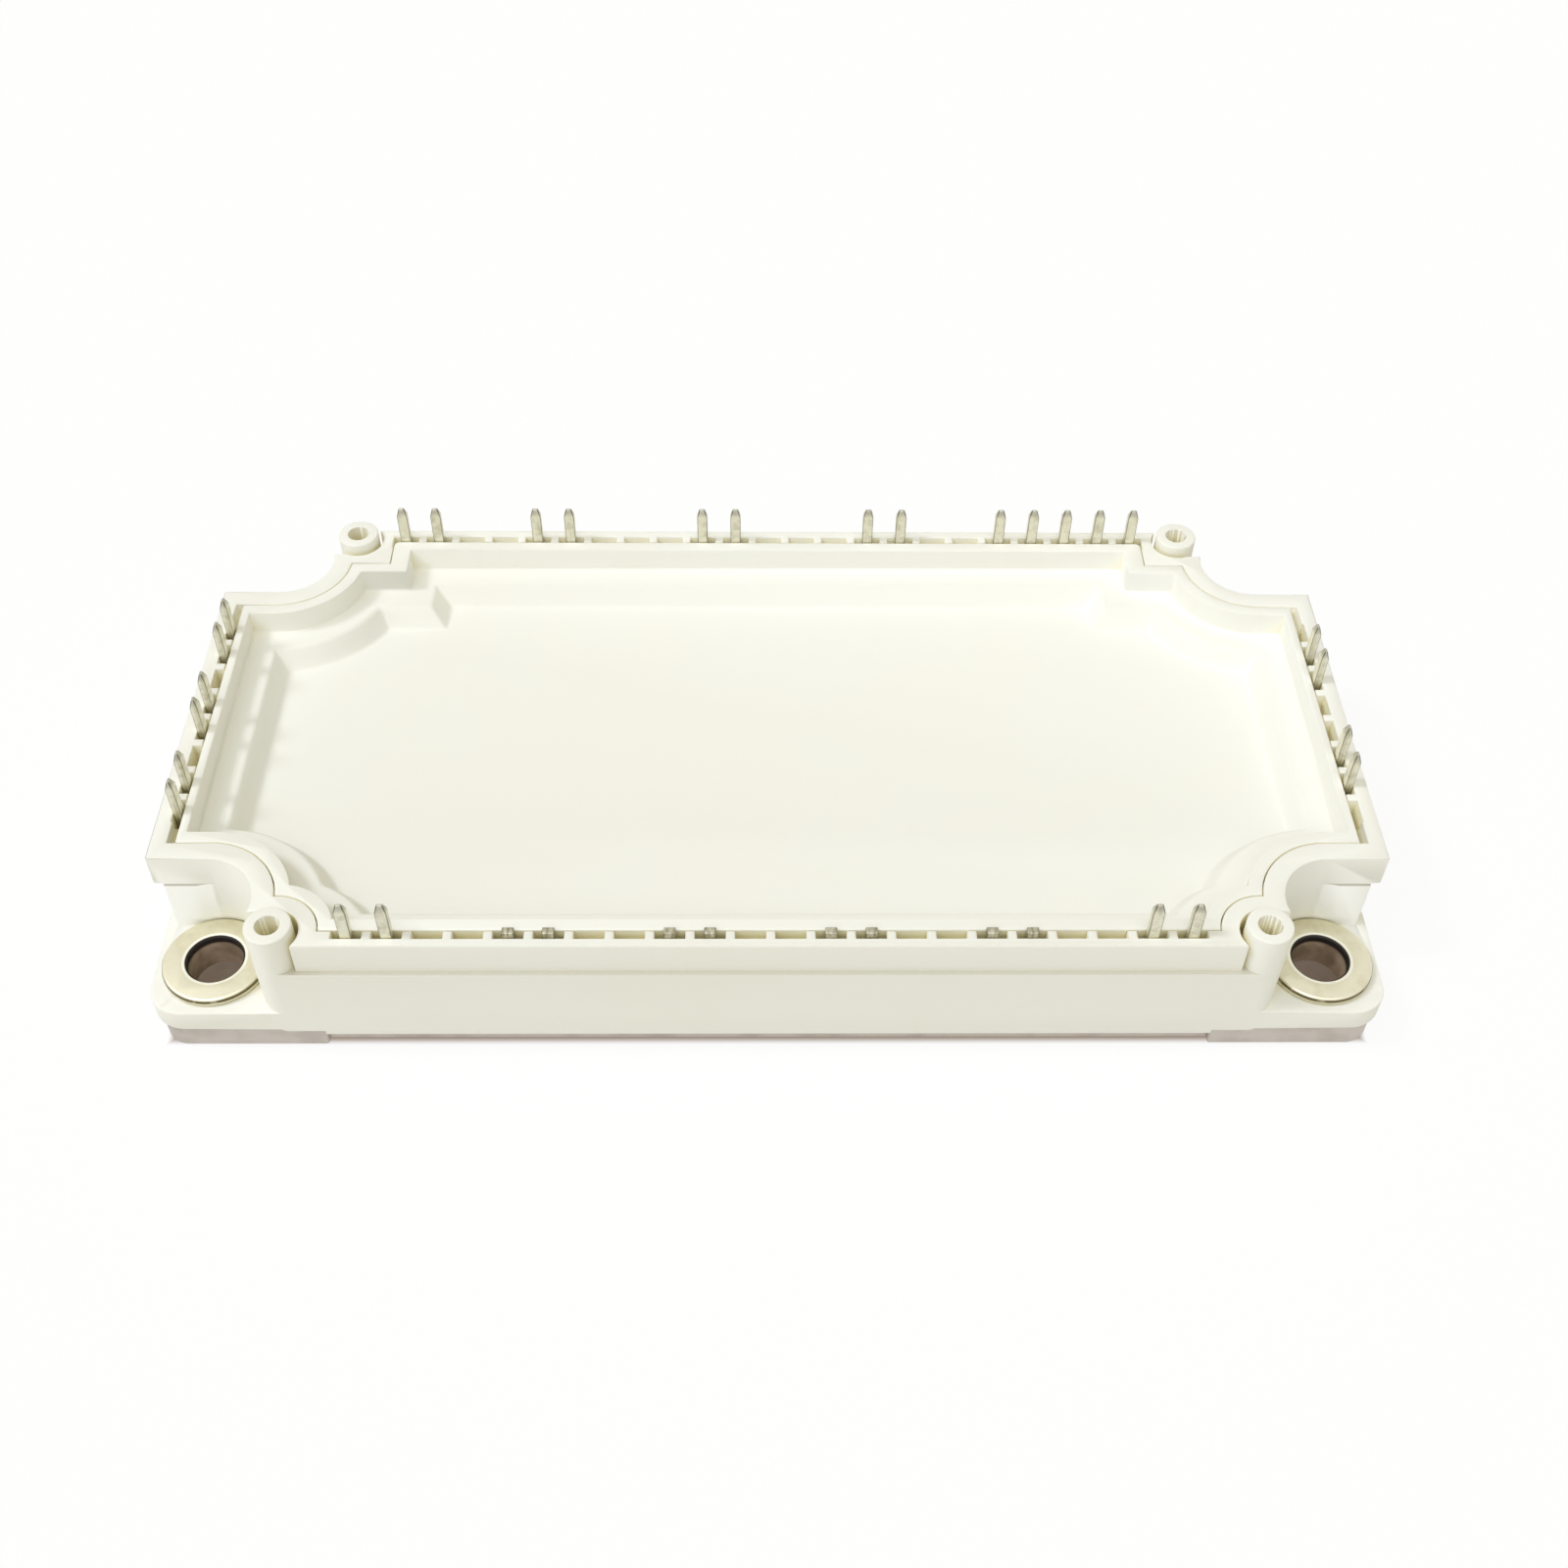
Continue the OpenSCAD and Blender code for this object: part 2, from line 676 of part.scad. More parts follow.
module bond_wires() {
    wire_x = diode_w / 4;
    color("lightgray") {
        for (p = pins) bond(pin_foot_point(p), landing(p));
        for (i = [1, 2], c = [0 : 2], side = [-1, 1]) {
            x = (i - 1) * substrate_step + (c - 1) * column_step + side * wire_x;
            bond([x, transistor_y, chip_top], [x, diode_y + diode_l / 2 - wire_foot, chip_top]);
            bond([x, diode_y - diode_l / 2 + wire_foot, chip_top],
                [x, plate_front - track_gap - 2 * wire_foot, track_top]);
        }
    }
}

module power_circuit() {
    for (i = [0 : 2]) {
        copper_tracks(i);
        ceramic(i);
    }
    solder_layers();
    copper_backs();
    transistor_chips();
    diode_chips();
    rectifier_chips();
    temperature_sensor();
    bond_wires();
}

// Soft gel that fills the chamber over the base plate and wraps the circuit
module silicone_gel() {
    color("lightcyan") difference() {
        intersection() {
            housing_chambers();
            translate([0, 0, plate_t]) centred_box(body_length, body_width, gel_top - plate_t);
        }
        power_circuit();
        for (p = pins) pin(p);
    }
}

base_plate();
housing();
lid();
for (i = [0 : 3]) bush_at(i);
for (p = pins) pin(p);
solder_layers();
copper_backs();
for (i = [0 : 2]) ceramic(i);
for (i = [0 : 2]) copper_tracks(i);
transistor_chips();
diode_chips();
rectifier_chips();
temperature_sensor();
bond_wires();
silicone_gel();
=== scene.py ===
# Power semiconductor module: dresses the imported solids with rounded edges, finishes, light and a camera
import json
import math
import bpy
import bmesh
from mathutils import Matrix, Vector


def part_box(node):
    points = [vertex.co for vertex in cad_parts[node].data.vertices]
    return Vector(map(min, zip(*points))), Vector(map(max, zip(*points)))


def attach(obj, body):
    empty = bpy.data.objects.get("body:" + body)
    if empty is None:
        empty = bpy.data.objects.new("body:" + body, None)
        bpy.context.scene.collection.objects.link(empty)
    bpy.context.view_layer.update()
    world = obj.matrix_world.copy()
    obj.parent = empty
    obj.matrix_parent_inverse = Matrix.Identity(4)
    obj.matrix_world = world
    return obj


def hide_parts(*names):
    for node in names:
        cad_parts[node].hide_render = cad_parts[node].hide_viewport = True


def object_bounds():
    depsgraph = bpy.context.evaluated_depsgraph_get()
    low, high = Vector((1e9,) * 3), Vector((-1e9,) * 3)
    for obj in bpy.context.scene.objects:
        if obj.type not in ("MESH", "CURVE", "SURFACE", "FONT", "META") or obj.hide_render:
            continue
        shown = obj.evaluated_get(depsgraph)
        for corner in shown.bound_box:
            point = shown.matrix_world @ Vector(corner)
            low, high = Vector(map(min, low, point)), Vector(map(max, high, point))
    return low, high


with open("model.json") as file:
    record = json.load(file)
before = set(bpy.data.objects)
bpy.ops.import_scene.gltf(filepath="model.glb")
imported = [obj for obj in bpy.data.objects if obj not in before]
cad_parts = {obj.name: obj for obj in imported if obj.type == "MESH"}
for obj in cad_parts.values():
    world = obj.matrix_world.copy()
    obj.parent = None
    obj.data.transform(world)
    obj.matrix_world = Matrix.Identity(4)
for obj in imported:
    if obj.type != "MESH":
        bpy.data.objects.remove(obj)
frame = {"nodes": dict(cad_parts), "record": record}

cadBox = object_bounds()
mm = 0.001
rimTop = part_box("lid")[1].z / mm
ops = bpy.ops


class Link:  # one output of a node: arithmetic on it adds Math nodes to the same material
    def __init__(self, tree, socket):
        self.tree = tree
        self.socket = socket

    # any node: its settings are set first, then the values or links of its sockets
    def make(self, kind, settings=None, sockets=None, output=0):
        made = self.tree.nodes.new("ShaderNode" + kind)
        for name, value in (settings or {}).items():
            setattr(made, name, value)
        for name, value in (sockets or {}).items():
            feed(self.tree, made.inputs[name], value)
        return Link(self.tree, made.outputs[output])

    def maths(self, operation, first, second=0.0):
        return self.make("Math", {"operation": operation}, {0: first, 1: second})

    def __add__(self, other):
        return self.maths("ADD", self, other)

    def __radd__(self, other):
        return self.maths("ADD", other, self)

    def __sub__(self, other):
        return self.maths("SUBTRACT", self, other)

    def __rsub__(self, other):
        return self.maths("SUBTRACT", other, self)

    def __mul__(self, other):
        return self.maths("MULTIPLY", self, other)

    def __rmul__(self, other):
        return self.maths("MULTIPLY", other, self)

    def __truediv__(self, other):
        return self.maths("DIVIDE", self, other)

    def size(self):
        return self.maths("ABSOLUTE", self)

    def root(self):
        return self.maths("SQRT", self)

    def sine(self):
        return self.maths("SINE", self)

    def larger(self, other):
        return self.maths("MAXIMUM", self, other)

    # 0 below low, 1 above high, and smooth between them
    def rise(self, low, high):
        return self.make("MapRange", {"interpolation_type": "SMOOTHSTEP"},
                         {"Value": self, "From Min": low, "From Max": high})

    def noise(self, scale, detail, roughness=0.55):
        return self.make("TexNoise", {}, {"Vector": self, "Scale": scale, "Detail": detail,
                                          "Roughness": roughness})

    def stretched(self, x, y, z):
        return self.make("Mapping", {}, {"Vector": self, "Scale": (x, y, z)})

    def split(self):
        outputs = self.make("SeparateXYZ", {}, {0: self}).socket.node.outputs
        return [Link(self.tree, outputs[i]) for i in range(3)]


def feed(tree, socket, value):
    if isinstance(value, Link):
        tree.links.new(value.socket, socket)
    elif isinstance(value, tuple) and socket.type == "RGBA" and len(value) == 3:
        socket.default_value = (*value, 1.0)
    else:
        socket.default_value = value


def blend(start, first, second, factor):  # a colour between two others
    return start.make("Mix", {"data_type": "RGBA"}, {0: factor, 6: first, 7: second}, output=2)


# depth is in metres, and under is a relief that this one is laid on
def bump(start, height, depth, strength, under=None):
    sockets = {"Strength": strength, "Distance": depth, "Height": height}
    if under is not None:
        sockets["Normal"] = under
    return start.make("Bump", {}, sockets)


# recipe is given the object's coordinates and returns what goes into the shader's sockets
def newMaterial(name, recipe, **fixed):
    material = bpy.data.materials.new(name)
    material.use_nodes = True
    tree = material.node_tree
    shader = tree.nodes["Principled BSDF"]
    start = Link(tree, tree.nodes.new("ShaderNodeTexCoord").outputs["Object"])
    for socketName, value in {**fixed, **recipe(start)}.items():
        feed(tree, shader.inputs[socketName], value)
    return material


plastic = {
    "ivory": (0.925, 0.925, 0.87),
    "cool": (0.925, 0.935, 0.90),
    "coolShare": 0.6,
    "coolScale": 55.0,
    "warm": (0.90, 0.88, 0.77),
    "warmShare": 0.22,
    "warmScale": 495.0,
    "shade": (0.93, 0.87, 0.60),  # painted shade in recesses, laid where ambient occlusion finds a point hidden
    "shadeFrom": (0.36, 0.90),  # how hidden a point is where it starts and where it is full
    "deep": (0.74, 0.67, 0.32),  # painted deeper shade at the bottom of the narrowest slots
    "deepFrom": (0.84, 1.0),
    "paintedRecessShadeShare": 0.8,
    "recessReach": 3.0 * mm,
    "recessSamples": 5,
    "waveScale": 132.0,
    "waveDepth": 0.05 * mm,
    "waveStrength": 0.35,
    "grainScale": 5200.0,
    "grainDepth": 0.012 * mm,
    "grainStrength": 0.25,
    "roughness": 0.46,
    "grainRoughness": 0.14,
}


def mouldedPlastic(start):
    cool = start.noise(plastic["coolScale"], 2.0).rise(0.35, 0.68)
    warm = start.noise(plastic["warmScale"], 3.0).rise(0.62, 0.80)
    colour = blend(start, plastic["ivory"], plastic["cool"], cool * plastic["coolShare"])
    colour = blend(start, colour, plastic["warm"], warm * plastic["warmShare"])
    hidden = 1 - start.make("AmbientOcclusion", {"samples": plastic["recessSamples"], "only_local": False},
                            {"Distance": plastic["recessReach"]}, output=1)
    # the recess tones are painted shade: the colour is darkened and yellowed where ambient occlusion finds
    # the surface hidden
    for tone in ("shade", "deep"):
        share = hidden.rise(*plastic[tone + "From"]) * plastic["paintedRecessShadeShare"]
        colour = blend(start, colour, plastic[tone], share)
    grain = start.noise(plastic["grainScale"], 2.0)
    wave = bump(start, start.noise(plastic["waveScale"], 1.0), plastic["waveDepth"], plastic["waveStrength"])
    relief = bump(start, grain, plastic["grainDepth"], plastic["grainStrength"], under=wave)
    roughness = plastic["roughness"] + grain * plastic["grainRoughness"]
    return {"Base Color": colour, "Roughness": roughness, "Normal": relief}


ledge = {
    # painted shade laid on the ledge's up-facing strip
    "paintedLedgeShade": (0.50, 0.48, 0.39),
    "paintedLedgeShadeShare": 0.8,
    "height": 12.2,  # in mm
    "startsBelow": (0.16, 0.08),
    "endsAbove": (0.04, 0.12),
    "facesUp": (0.3, 0.7),
}


def ledgedPlastic(start):  # painted shade: the up-facing strip of the narrow ledge under the rim's band is darkened
    look = mouldedPlastic(start)
    height = start.split()[2]
    facing = start.make("NewGeometry", output=3).split()[2]
    low = [(ledge["height"] - gap) * mm for gap in ledge["startsBelow"]]
    high = [(ledge["height"] + gap) * mm for gap in ledge["endsAbove"]]
    strip = height.rise(*low) * (1 - height.rise(*high)) * facing.rise(*ledge["facesUp"])
    look["Base Color"] = blend(start, look["Base Color"], ledge["paintedLedgeShade"], strip * ledge["paintedLedgeShadeShare"])
    return look


# radii are in mm from the bush's axis, and depths in mm under its face
bushMetal = {
    "face": (0.76, 0.72, 0.54),
    "stain": (0.62, 0.56, 0.39),
    "stainShare": 0.6,
    # a painted highlight on the chamfer round the bore's mouth
    "paintedLipHighlight": (0.97, 0.95, 0.86),
    "paintedLipHighlightShare": 0.8,
    "lipRadii": (2.96, 3.02, 3.16, 3.30),
    # dark marks on the flange's side: painted shade in a band under its top edge and a painted contact shadow
    # at its foot
    "paintedShadeLine": (0.13, 0.105, 0.045),
    "lineRadii": (5.0, 5.12),
    "paintedUpperBandTop": (0.18, 0.10),
    "paintedUpperBandBottom": (0.54, 0.46),
    "footTop": (0.94, 0.78),
    "paintedFootShadowShare": 0.8,
    # the bore's inside is painted: brown painted shade, lighter patches of painted reflection, and near-black
    # painted shade at its mouth
    "bore": (0.30, 0.225, 0.155),
    "paintedBoreReflection": (0.58, 0.45, 0.33),
    "boreRadii": (2.92, 2.98),
    "paintedMouthShade": (0.012, 0.008, 0.006),
    "mouthBottom": (1.1, 0.7),
    "turning": 5.2,  # rings in a millimetre
    "turnDepth": 0.008 * mm,
    "turnStrength": 0.5,
}


def turnedBush(start):
    low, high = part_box("bush_back_right")
    centre = (low + high) / 2
    x, y, height = start.split()
    across = x.size() - centre.x
    along = y.size() - centre.y
    radius = (across * across + along * along).root() / mm

    def above(level):  # 0 under a level of the bush, 1 over it
        deep, shallow = bushMetal[level]
        return height.rise(high.z - deep * mm, high.z - shallow * mm)

    patch = start.noise(420.0, 4.0).rise(0.45, 0.72)
    paintedReflectionPatch = start.noise(260.0, 3.0).rise(0.40, 0.66)
    broken = start.noise(700.0, 2.0).rise(0.30, 0.50)
    bore = 1 - radius.rise(*bushMetal["boreRadii"])
    paintedLipHighlight = radius.rise(*bushMetal["lipRadii"][:2]) * (1 - radius.rise(*bushMetal["lipRadii"][2:]))
    # painted shade in a dashed band under the flange's top edge
    paintedUpperBandShade = above("paintedUpperBandBottom") * (1 - above("paintedUpperBandTop")) * (0.45 + broken * 0.5)
    # painted contact shadow along the foot of the flange
    paintedFootShadow = (1 - above("footTop")) * bushMetal["paintedFootShadowShare"]
    colour = blend(start, bushMetal["face"], bushMetal["stain"], patch * bushMetal["stainShare"])
    # painted highlight on the bore's chamfer
    colour = blend(start, colour, bushMetal["paintedLipHighlight"], paintedLipHighlight * bushMetal["paintedLipHighlightShare"])
    colour = blend(start, colour, bushMetal["paintedShadeLine"], radius.rise(*bushMetal["lineRadii"]) * (paintedUpperBandShade + paintedFootShadow))
    # inside the bore: painted shade with patches of painted reflection, darkest at the mouth
    inside = blend(start, bushMetal["bore"], bushMetal["paintedBoreReflection"], paintedReflectionPatch)
    inside = blend(start, inside, bushMetal["paintedMouthShade"], above("mouthBottom"))
    colour = blend(start, colour, inside, bore)
    rings = (radius * (bushMetal["turning"] * 2 * math.pi)).sine()
    scratch = start.noise(2600.0, 2.0)
    relief = bump(start, rings * 0.5 + scratch * 0.8, bushMetal["turnDepth"], bushMetal["turnStrength"])
    return {"Base Color": colour, "Roughness": 0.34 + patch * 0.14 + bore * 0.2, "Normal": relief,
            "Metallic": 1 - bore * 0.75}


pinMetal = {
    "tin": (0.78, 0.76, 0.62),
    "dull": (0.47, 0.44, 0.31),
    "edge": (0.16, 0.15, 0.09),
    "edgeShare": 0.65,
    "tip": (0.13, 0.12, 0.08),
    "tipReach": (1.0, 0.3),  # depths in mm under the highest pin's top
    "paintedSlotShade": (0.24, 0.21, 0.12),
    "paintedSlotShadeReach": (-1.2, 0.3),  # painted shade on the pin inside its slot; heights in mm from the rim
    "streakScale": 3200.0,
    "streakLength": 0.12,
    "streakDepth": 0.02 * mm,
    "streakStrength": 0.6,
}


def tinnedPin(start):
    height = start.split()[2]
    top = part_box("pin_back_1")[1].z
    deep, shallow = pinMetal["tipReach"]
    tip = height.rise(top - deep * mm, top - shallow * mm)
    low, high = pinMetal["paintedSlotShadeReach"]
    paintedSlotShade = 1 - height.rise((rimTop + low) * mm, (rimTop + high) * mm)
    streak = start.stretched(1.0, 1.0, pinMetal["streakLength"]).noise(pinMetal["streakScale"], 3.0)
    blot = start.noise(1100.0, 3.0).rise(0.42, 0.70)
    edge = start.make("Attribute", {"attribute_name": "edge"}, output=2)
    colour = blend(start, pinMetal["tin"], pinMetal["dull"], blot * 0.5 + streak.rise(0.5, 0.8) * 0.4)
    colour = blend(start, colour, pinMetal["edge"], edge * pinMetal["edgeShare"])
    colour = blend(start, colour, pinMetal["tip"], tip * (0.45 + edge * 0.5))
    # painted shade on the part of the pin inside the slot
    colour = blend(start, colour, pinMetal["paintedSlotShade"], paintedSlotShade * (0.55 + streak * 0.5))
    relief = bump(start, streak, pinMetal["streakDepth"], pinMetal["streakStrength"])
    return {"Base Color": colour, "Roughness": 0.30 + streak * 0.25, "Normal": relief}


def stubPin(start):  # a pin cut off in its slot, darkened with painted shade
    look = tinnedPin(start)
    streak = start.stretched(1.0, 0.25, 0.25).noise(2600.0, 3.0)
    # painted shade of the slot, streaked
    paintedStubShade = 0.45 + streak.rise(0.4, 0.65) * 0.5
    look["Base Color"] = blend(start, look["Base Color"], pinMetal["paintedSlotShade"], paintedStubShade)
    return look


plateMetal = {
    "nickel": (0.60, 0.55, 0.50),
    "dark": (0.36, 0.31, 0.27),
    "darkShare": 0.45,
    "copper": (0.66, 0.42, 0.30),
    "copperShare": 0.35,
    "wornUpTo": (0.1 * mm, 0.7 * mm),
    "rollDepth": 0.02 * mm,
    "rollStrength": 0.55,
}


def rolledPlate(start):
    alongX = start.stretched(0.06, 1.0, 1.0).noise(2400.0, 4.0)
    alongY = start.stretched(1.0, 0.10, 1.0).noise(1500.0, 3.0)
    blot = start.noise(240.0, 4.0).rise(0.40, 0.72)
    height = start.split()[2]
    worn = start.noise(900.0, 3.0).rise(0.58, 0.70) * (1 - height.rise(*plateMetal["wornUpTo"]))
    colour = blend(start, plateMetal["nickel"], plateMetal["dark"], blot * plateMetal["darkShare"])
    colour = blend(start, colour, plateMetal["copper"], worn * plateMetal["copperShare"])
    relief = bump(start, alongX + alongY * 0.5, plateMetal["rollDepth"], plateMetal["rollStrength"])
    return {"Base Color": colour, "Roughness": 0.40 + alongX * 0.22, "Normal": relief}


# the pieces sealed inside: name, two tones, scale of the flecks, roughness, depth in mm, fixed values
sealed = {
    "copper": ("circuitCopper", (0.80, 0.45, 0.28), (0.60, 0.30, 0.18), 900.0, 0.30, 0.01, {"Metallic": 1.0}),
    "solder": ("solder", (0.56, 0.57, 0.58), (0.40, 0.40, 0.41), 700.0, 0.32, 0.03, {"Metallic": 1.0}),
    "ceramic": ("ceramic", (0.88, 0.88, 0.86), (0.80, 0.80, 0.78), 2200.0, 0.50, 0.01, {}),
    "silicon": ("chipSilicon", (0.22, 0.23, 0.27), (0.15, 0.15, 0.19), 600.0, 0.15, 0.004, {"Metallic": 0.6}),
    "sensor_body": ("sensorGlass", (0.04, 0.04, 0.05), (0.02, 0.02, 0.02), 1500.0, 0.20, 0.01, {}),
    "wire_metal": ("bondWire", (0.82, 0.82, 0.82), (0.65, 0.65, 0.66), 2500.0, 0.28, 0.01, {"Metallic": 1.0}),
    "gel": ("softGel", (0.80, 0.87, 0.87), (0.74, 0.82, 0.84), 120.0, 0.12, 0.05, {"Alpha": 0.45}),
}


def flecked(light, dark, scale, roughness, depth):
    def recipe(start):
        fleck = start.noise(scale, 4.0)
        colour = blend(start, light, dark, fleck.rise(0.40, 0.72))
        return {"Base Color": colour, "Roughness": roughness + fleck * 0.15,
                "Normal": bump(start, fleck, depth * mm, 0.5)}
    return recipe


print("making the finishes")
finishes = {
    "housing_plastic": newMaterial("housingPlastic", ledgedPlastic, IOR=1.46),
    "lid_plastic": newMaterial("lidPlastic", mouldedPlastic, IOR=1.46),
    "bush_metal": newMaterial("bushMetal", turnedBush),
    "pin_metal": newMaterial("pinMetal", tinnedPin, Metallic=0.85),
    "stub_metal": newMaterial("stubMetal", stubPin, Metallic=0.85),
    "plate_metal": newMaterial("plateMetal", rolledPlate, Metallic=0.65),
}
for slotName, (name, *look, fixed) in sealed.items():
    finishes[slotName] = newMaterial(name, flecked(*look), **fixed)
slotOf = {part["node"]: part["material_slot"] for part in frame["record"]["subparts"]}
for name, node in frame["nodes"].items():
    node.data.materials.clear()
    node.data.materials.append(finishes[slotOf[name]])


def deselectAll():
    if bpy.context.object and bpy.context.object.mode != "OBJECT":
        ops.object.mode_set(mode="OBJECT")
    ops.object.select_all(action="DESELECT")


# a copy of a solid's mesh, with its loose triangles merged and its flat faces made whole;
# faces that look down can keep their triangles, for an underside with holes through it
def mergedCopy(nodeName, keepUnderside=False, doubles=0.0005 * mm, flatWithin=0.6):
    deselectAll()
    source = frame["nodes"][nodeName]
    piece = bpy.data.objects.new(nodeName + "_rounded", source.data.copy())
    bpy.context.scene.collection.objects.link(piece)
    piece.select_set(True)
    bpy.context.view_layer.objects.active = piece
    ops.object.mode_set(mode="EDIT")
    ops.mesh.select_all(action="SELECT")
    ops.mesh.remove_doubles(threshold=doubles)
    ops.mesh.select_mode(type="FACE")
    mesh = bmesh.from_edit_mesh(piece.data)
    for face in mesh.faces:
        face.select = not keepUnderside or face.normal.z > -0.5
    bmesh.update_edit_mesh(piece.data)
    ops.mesh.dissolve_limited(angle_limit=math.radians(flatWithin))
    ops.object.mode_set(mode="OBJECT")
    return piece


# selects the sharp edges that wanted(first end, second end) accepts: those that point outwards, or all
def selectEdges(piece, wanted, inwardToo=False, sharpest=0.5):
    ops.object.mode_set(mode="EDIT")
    ops.mesh.select_mode(type="EDGE")
    ops.mesh.select_all(action="DESELECT")
    mesh = bmesh.from_edit_mesh(piece.data)
    for edge in mesh.edges:
        sharp = len(edge.link_faces) == 2 and edge.calc_face_angle() > sharpest
        ends = [vertex.co / mm for vertex in edge.verts]
        edge.select = sharp and (inwardToo or edge.is_convex) and wanted(*ends)
    mesh.select_flush_mode()
    bmesh.update_edit_mesh(piece.data)


def roundEdges(piece, wanted, radius, segments=2, inwardToo=False):
    selectEdges(piece, wanted, inwardToo)
    ops.mesh.bevel(offset=radius, segments=segments, profile=0.5, affect="EDGES", clamp_overlap=False,
                   loop_slide=True)
    ops.object.mode_set(mode="OBJECT")


def finishPiece(piece, nodeName, smoothBelow=32):
    ops.object.shade_smooth_by_angle(angle=math.radians(smoothBelow))
    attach(piece, "root")
    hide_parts(nodeName)


# radii are in metres, and all other sizes of these looks in mm
housingLook = {
    "rimRadius": 0.14 * mm,
    "rimSlack": 0.05,
    "postRadius": 0.16 * mm,
    "postAboveRim": 0.3,
    "postWall": 0.5,
    "wallRadius": 0.18 * mm,
    "wallBelowRim": 0.1,
    "wallInset": (1.6, 1.0),
}
wallX, wallY = [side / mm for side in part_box("housing")[1]][:2]
boardPosts = next(mount for mount in frame["record"]["mounts"] if mount["name"] == "board_posts")["dims"]


def onPost(a, b):  # the outer edge of a post's top
    middle = (a + b) / 2
    across = abs(middle.x) - boardPosts["spacing_x_mm"] / 2
    along = abs(middle.y) - boardPosts["spacing_y_mm"] / 2
    outside = math.hypot(across, along) > boardPosts["hole_r_mm"] + housingLook["postWall"]
    return outside and min(a.z, b.z) > rimTop + housingLook["postAboveRim"]


def onRim(a, b):
    slack = housingLook["rimSlack"]
    return min(a.z, b.z) > rimTop - slack and max(a.z, b.z) < rimTop + slack


def onOutside(a, b):  # the outer walls below the rim
    middle = (a + b) / 2
    insetX, insetY = housingLook["wallInset"]
    outside = abs(middle.x) > wallX - insetX or abs(middle.y) > wallY - insetY
    return outside and max(a.z, b.z) < rimTop - housingLook["wallBelowRim"]


def roundedHousing():
    piece = mergedCopy("housing", keepUnderside=True)
    roundEdges(piece, onPost, housingLook["postRadius"], 3)
    roundEdges(piece, onRim, housingLook["rimRadius"])
    roundEdges(piece, onOutside, housingLook["wallRadius"])
    finishPiece(piece, "housing")


lidLook = {"rimRadius": 0.14 * mm, "trayRadius": 0.30 * mm, "trayDepth": 5.4, "trayBelowRim": 0.3}


def inTray(a, b):
    low, high = rimTop - lidLook["trayDepth"], rimTop - lidLook["trayBelowRim"]
    return min(a.z, b.z) > low and max(a.z, b.z) < high


def roundedLid():
    piece = mergedCopy("lid")
    roundEdges(piece, onRim, lidLook["rimRadius"])
    roundEdges(piece, inTray, lidLook["trayRadius"], inwardToo=True)
    finishPiece(piece, "lid")


plateLook = {"cornerRadius": 0.25 * mm, "endX": 58, "endY": 28}


def roundedPlate():
    piece = mergedCopy("base_plate")
    roundEdges(piece, lambda a, b: abs(a.x) > plateLook["endX"] or abs(a.y) > plateLook["endY"],
               plateLook["cornerRadius"])
    finishPiece(piece, "base_plate")


bushLook = {"edgeRadius": 0.07 * mm, "roundedAbove": 5.9, "smoothBelow": 40}


def roundedBush(name):
    piece = mergedCopy(name)
    roundEdges(piece, lambda a, b: max(a.z, b.z) > bushLook["roundedAbove"], bushLook["edgeRadius"])
    finishPiece(piece, name, bushLook["smoothBelow"])


pinLook = {
    "edgeRadius": 0.09 * mm,
    "shownBelowRim": 3.4,
    "stubAboveRim": 1.5,  # a pin that ends lower than this is cut off
    "smoothBelow": 40,
}


# marks the faces that round a pin's upright edges, which its finish draws darker
def markEdges(piece):
    marks = piece.data.attributes.new("edge", "FLOAT", "FACE")
    for face, mark in zip(piece.data.polygons, marks.data):
        mark.value = float(min(abs(face.normal.x), abs(face.normal.y)) > 0.2)


def roundedPin(name):
    piece = mergedCopy(name)
    roundEdges(piece, lambda a, b: max(a.z, b.z) > rimTop - pinLook["shownBelowRim"], pinLook["edgeRadius"])
    markEdges(piece)
    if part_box(name)[1].z < (rimTop + pinLook["stubAboveRim"]) * mm:
        piece.data.materials[0] = finishes["stub_metal"]
    finishPiece(piece, name, pinLook["smoothBelow"])


print("rounding the housing and the lid")
roundedHousing()
roundedLid()
print("rounding the base plate, the bushes and the pins")
roundedPlate()
for name in frame["nodes"]:
    if name.startswith("bush_"):
        roundedBush(name)
    if name.startswith("pin_"):
        roundedPin(name)

studio = {
    "floorColour": (0.80, 0.79, 0.76),
    "floorSeen": (0.98, 0.98, 0.98),
    "floorRoughness": 0.9,
    "floorSize": 1.6,
    "floorDrop": 0.0002,
    "paintedHoleShade": (0.34, 0.26, 0.20),  # painted shade: what shows of the floor under the base plate, seen through the bores
    "whiteShare": 0.90,
    "white": (1.0, 1.0, 1.0),
    "skyColour": (1.0, 0.92, 0.64),
    "skyStrength": 0.44,
    "lampColour": (0.87, 0.905, 1.0),
    "keyDirection": (-0.60, -0.03, 0.80),
    "keyStrength": 0.98,
    "keyAngle": 13.0,
    "softDirection": (-0.14, -0.42, 0.76),
    "softStrength": 1.35,
    "softAngle": 70.0,
}


def seenPlainly(tree):  # 1 for rays from the camera and for those that metal or glass sends on
    rays = tree.nodes.new("ShaderNodeLightPath").outputs
    camera, glossy, clear = [Link(tree, rays["Is " + kind + " Ray"])
                             for kind in ("Camera", "Glossy", "Transmission")]
    return camera.larger(glossy.larger(clear))


# shows the second shader instead of the first, as far as factor says, at an output's Surface
def mixShaders(tree, factor, first, second, outputName):
    mixed = factor.make("MixShader", {}, {0: factor, 2: second})
    tree.links.new(first.outputs[0], mixed.socket.node.inputs[1])
    tree.links.new(mixed.socket, tree.nodes[outputName].inputs["Surface"])


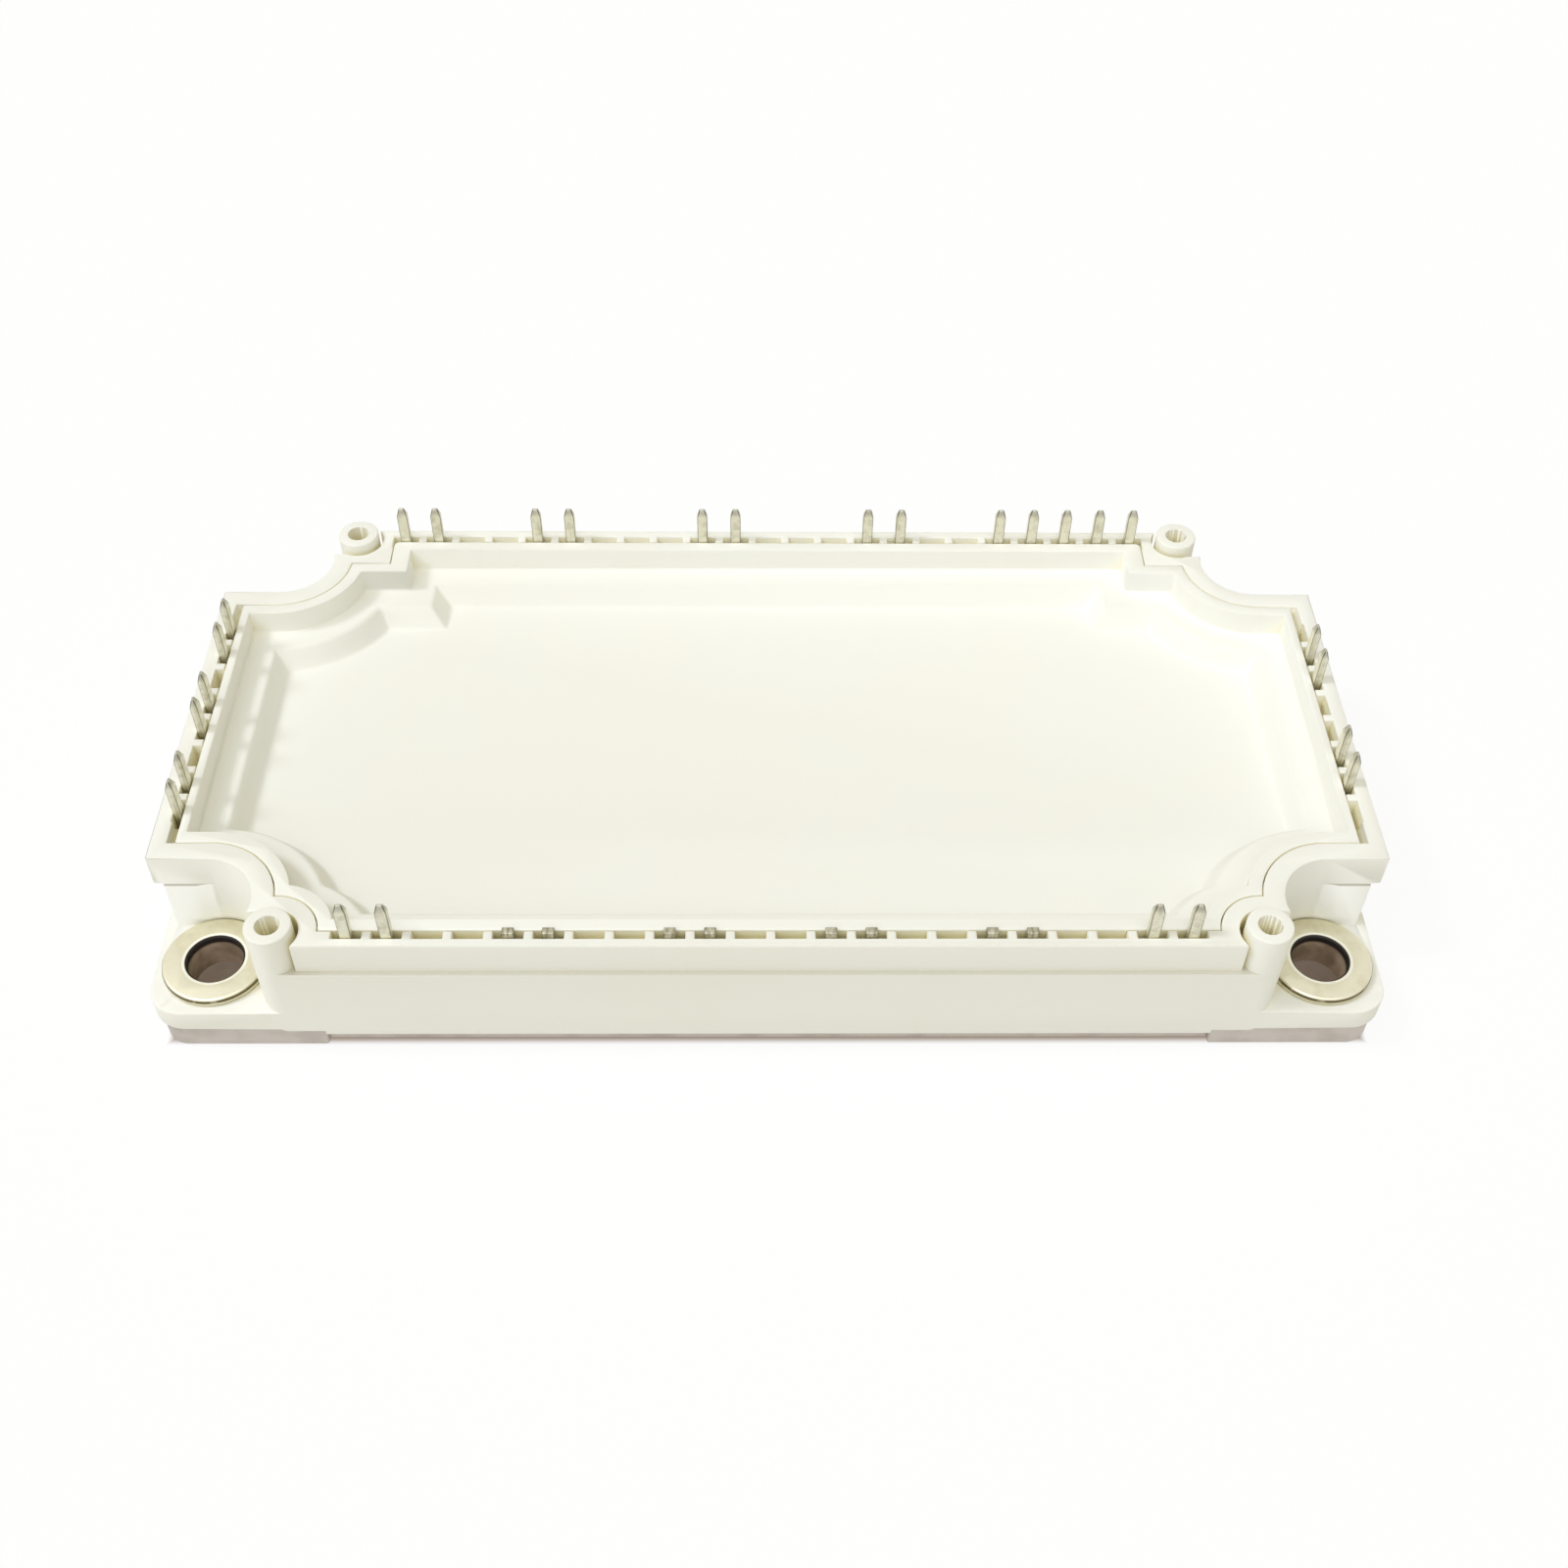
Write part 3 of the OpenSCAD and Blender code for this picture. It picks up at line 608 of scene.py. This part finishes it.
def layFloor():
    deselectAll()
    height = cadBox[0][2] - studio["floorDrop"]
    ops.mesh.primitive_plane_add(size=studio["floorSize"], location=(0, 0, height))
    floor = bpy.context.object
    floor.name = "floor"
    material = bpy.data.materials.new("paleFloor")
    material.use_nodes = True
    tree = material.node_tree
    shader = tree.nodes["Principled BSDF"]
    shader.inputs["Roughness"].default_value = studio["floorRoughness"]
    shader.inputs["Specular IOR Level"].default_value = 0.0
    seen = seenPlainly(tree)
    feed(tree, shader.inputs["Base Color"], blend(seen, studio["floorColour"], studio["floorSeen"], seen))
    x, y, z = Link(tree, tree.nodes.new("ShaderNodeTexCoord").outputs["Object"]).split()
    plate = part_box("base_plate")[1]
    beside = (x.size() - plate.x).larger(y.size() - plate.y).rise(-1.0 * mm, 0.0)
    below = seen.make("NewGeometry", output=6)  # the floor's lower side
    # under the base plate the floor glows in brown painted shade, seen through the bores
    shown = blend(seen, studio["paintedHoleShade"], studio["white"], beside.larger(below))
    white = seen.make("Emission", {}, {"Color": shown, "Strength": 1.0})
    mixShaders(tree, seen * studio["whiteShare"], shader, white, "Material Output")
    floor.data.materials.append(material)


def lightStudio():
    world = bpy.data.worlds.new("studio")
    bpy.context.scene.world = world
    world.use_nodes = True
    tree = world.node_tree
    sky = tree.nodes["Background"]
    feed(tree, sky.inputs["Color"], studio["skyColour"])
    feed(tree, sky.inputs["Strength"], studio["skyStrength"])
    seen = seenPlainly(tree)
    white = seen.make("Background", {}, {"Color": studio["white"], "Strength": 1.0})
    mixShaders(tree, seen, sky, white, "World Output")
    for name in ("key", "soft"):
        ops.object.light_add(type="SUN", location=(0, 0, 0.5))
        lamp = bpy.context.object
        lamp.name = name + "Light"
        lamp.data.energy = studio[name + "Strength"]
        lamp.data.color = studio["lampColour"]
        lamp.data.angle = math.radians(studio[name + "Angle"])
        lamp.rotation_euler = Vector(studio[name + "Direction"]).to_track_quat("Z", "Y").to_euler()


view = {
    "azimuth": -1.25,
    "elevation": 47.07,
    "roll": 0.96,
    "distance": 194.6 * mm,
    "target": (1.57 * mm, -3.18 * mm, 9.0 * mm),
    "lens": 41.8,
    "sensorWidth": 36.0,
    "clipStart": 0.005,
}


def placeCamera():
    azimuth = math.radians(view["azimuth"])
    elevation = math.radians(view["elevation"])
    back = Vector((math.sin(azimuth) * math.cos(elevation), -math.cos(azimuth) * math.cos(elevation),
                   math.sin(elevation)))
    ops.object.camera_add(location=Vector(view["target"]) + back * view["distance"])
    camera = bpy.context.object
    camera.name = "camera"
    roll = Matrix.Rotation(math.radians(view["roll"]), 3, "Z").to_quaternion()
    camera.rotation_euler = (back.to_track_quat("Z", "Y") @ roll).to_euler()
    camera.data.lens = view["lens"]
    camera.data.sensor_width = view["sensorWidth"]
    camera.data.clip_start = view["clipStart"]
    bpy.context.scene.camera = camera


print("laying the floor and setting the light and camera")
layFloor()
lightStudio()
placeCamera()
bpy.context.scene.view_settings.view_transform = "Standard"
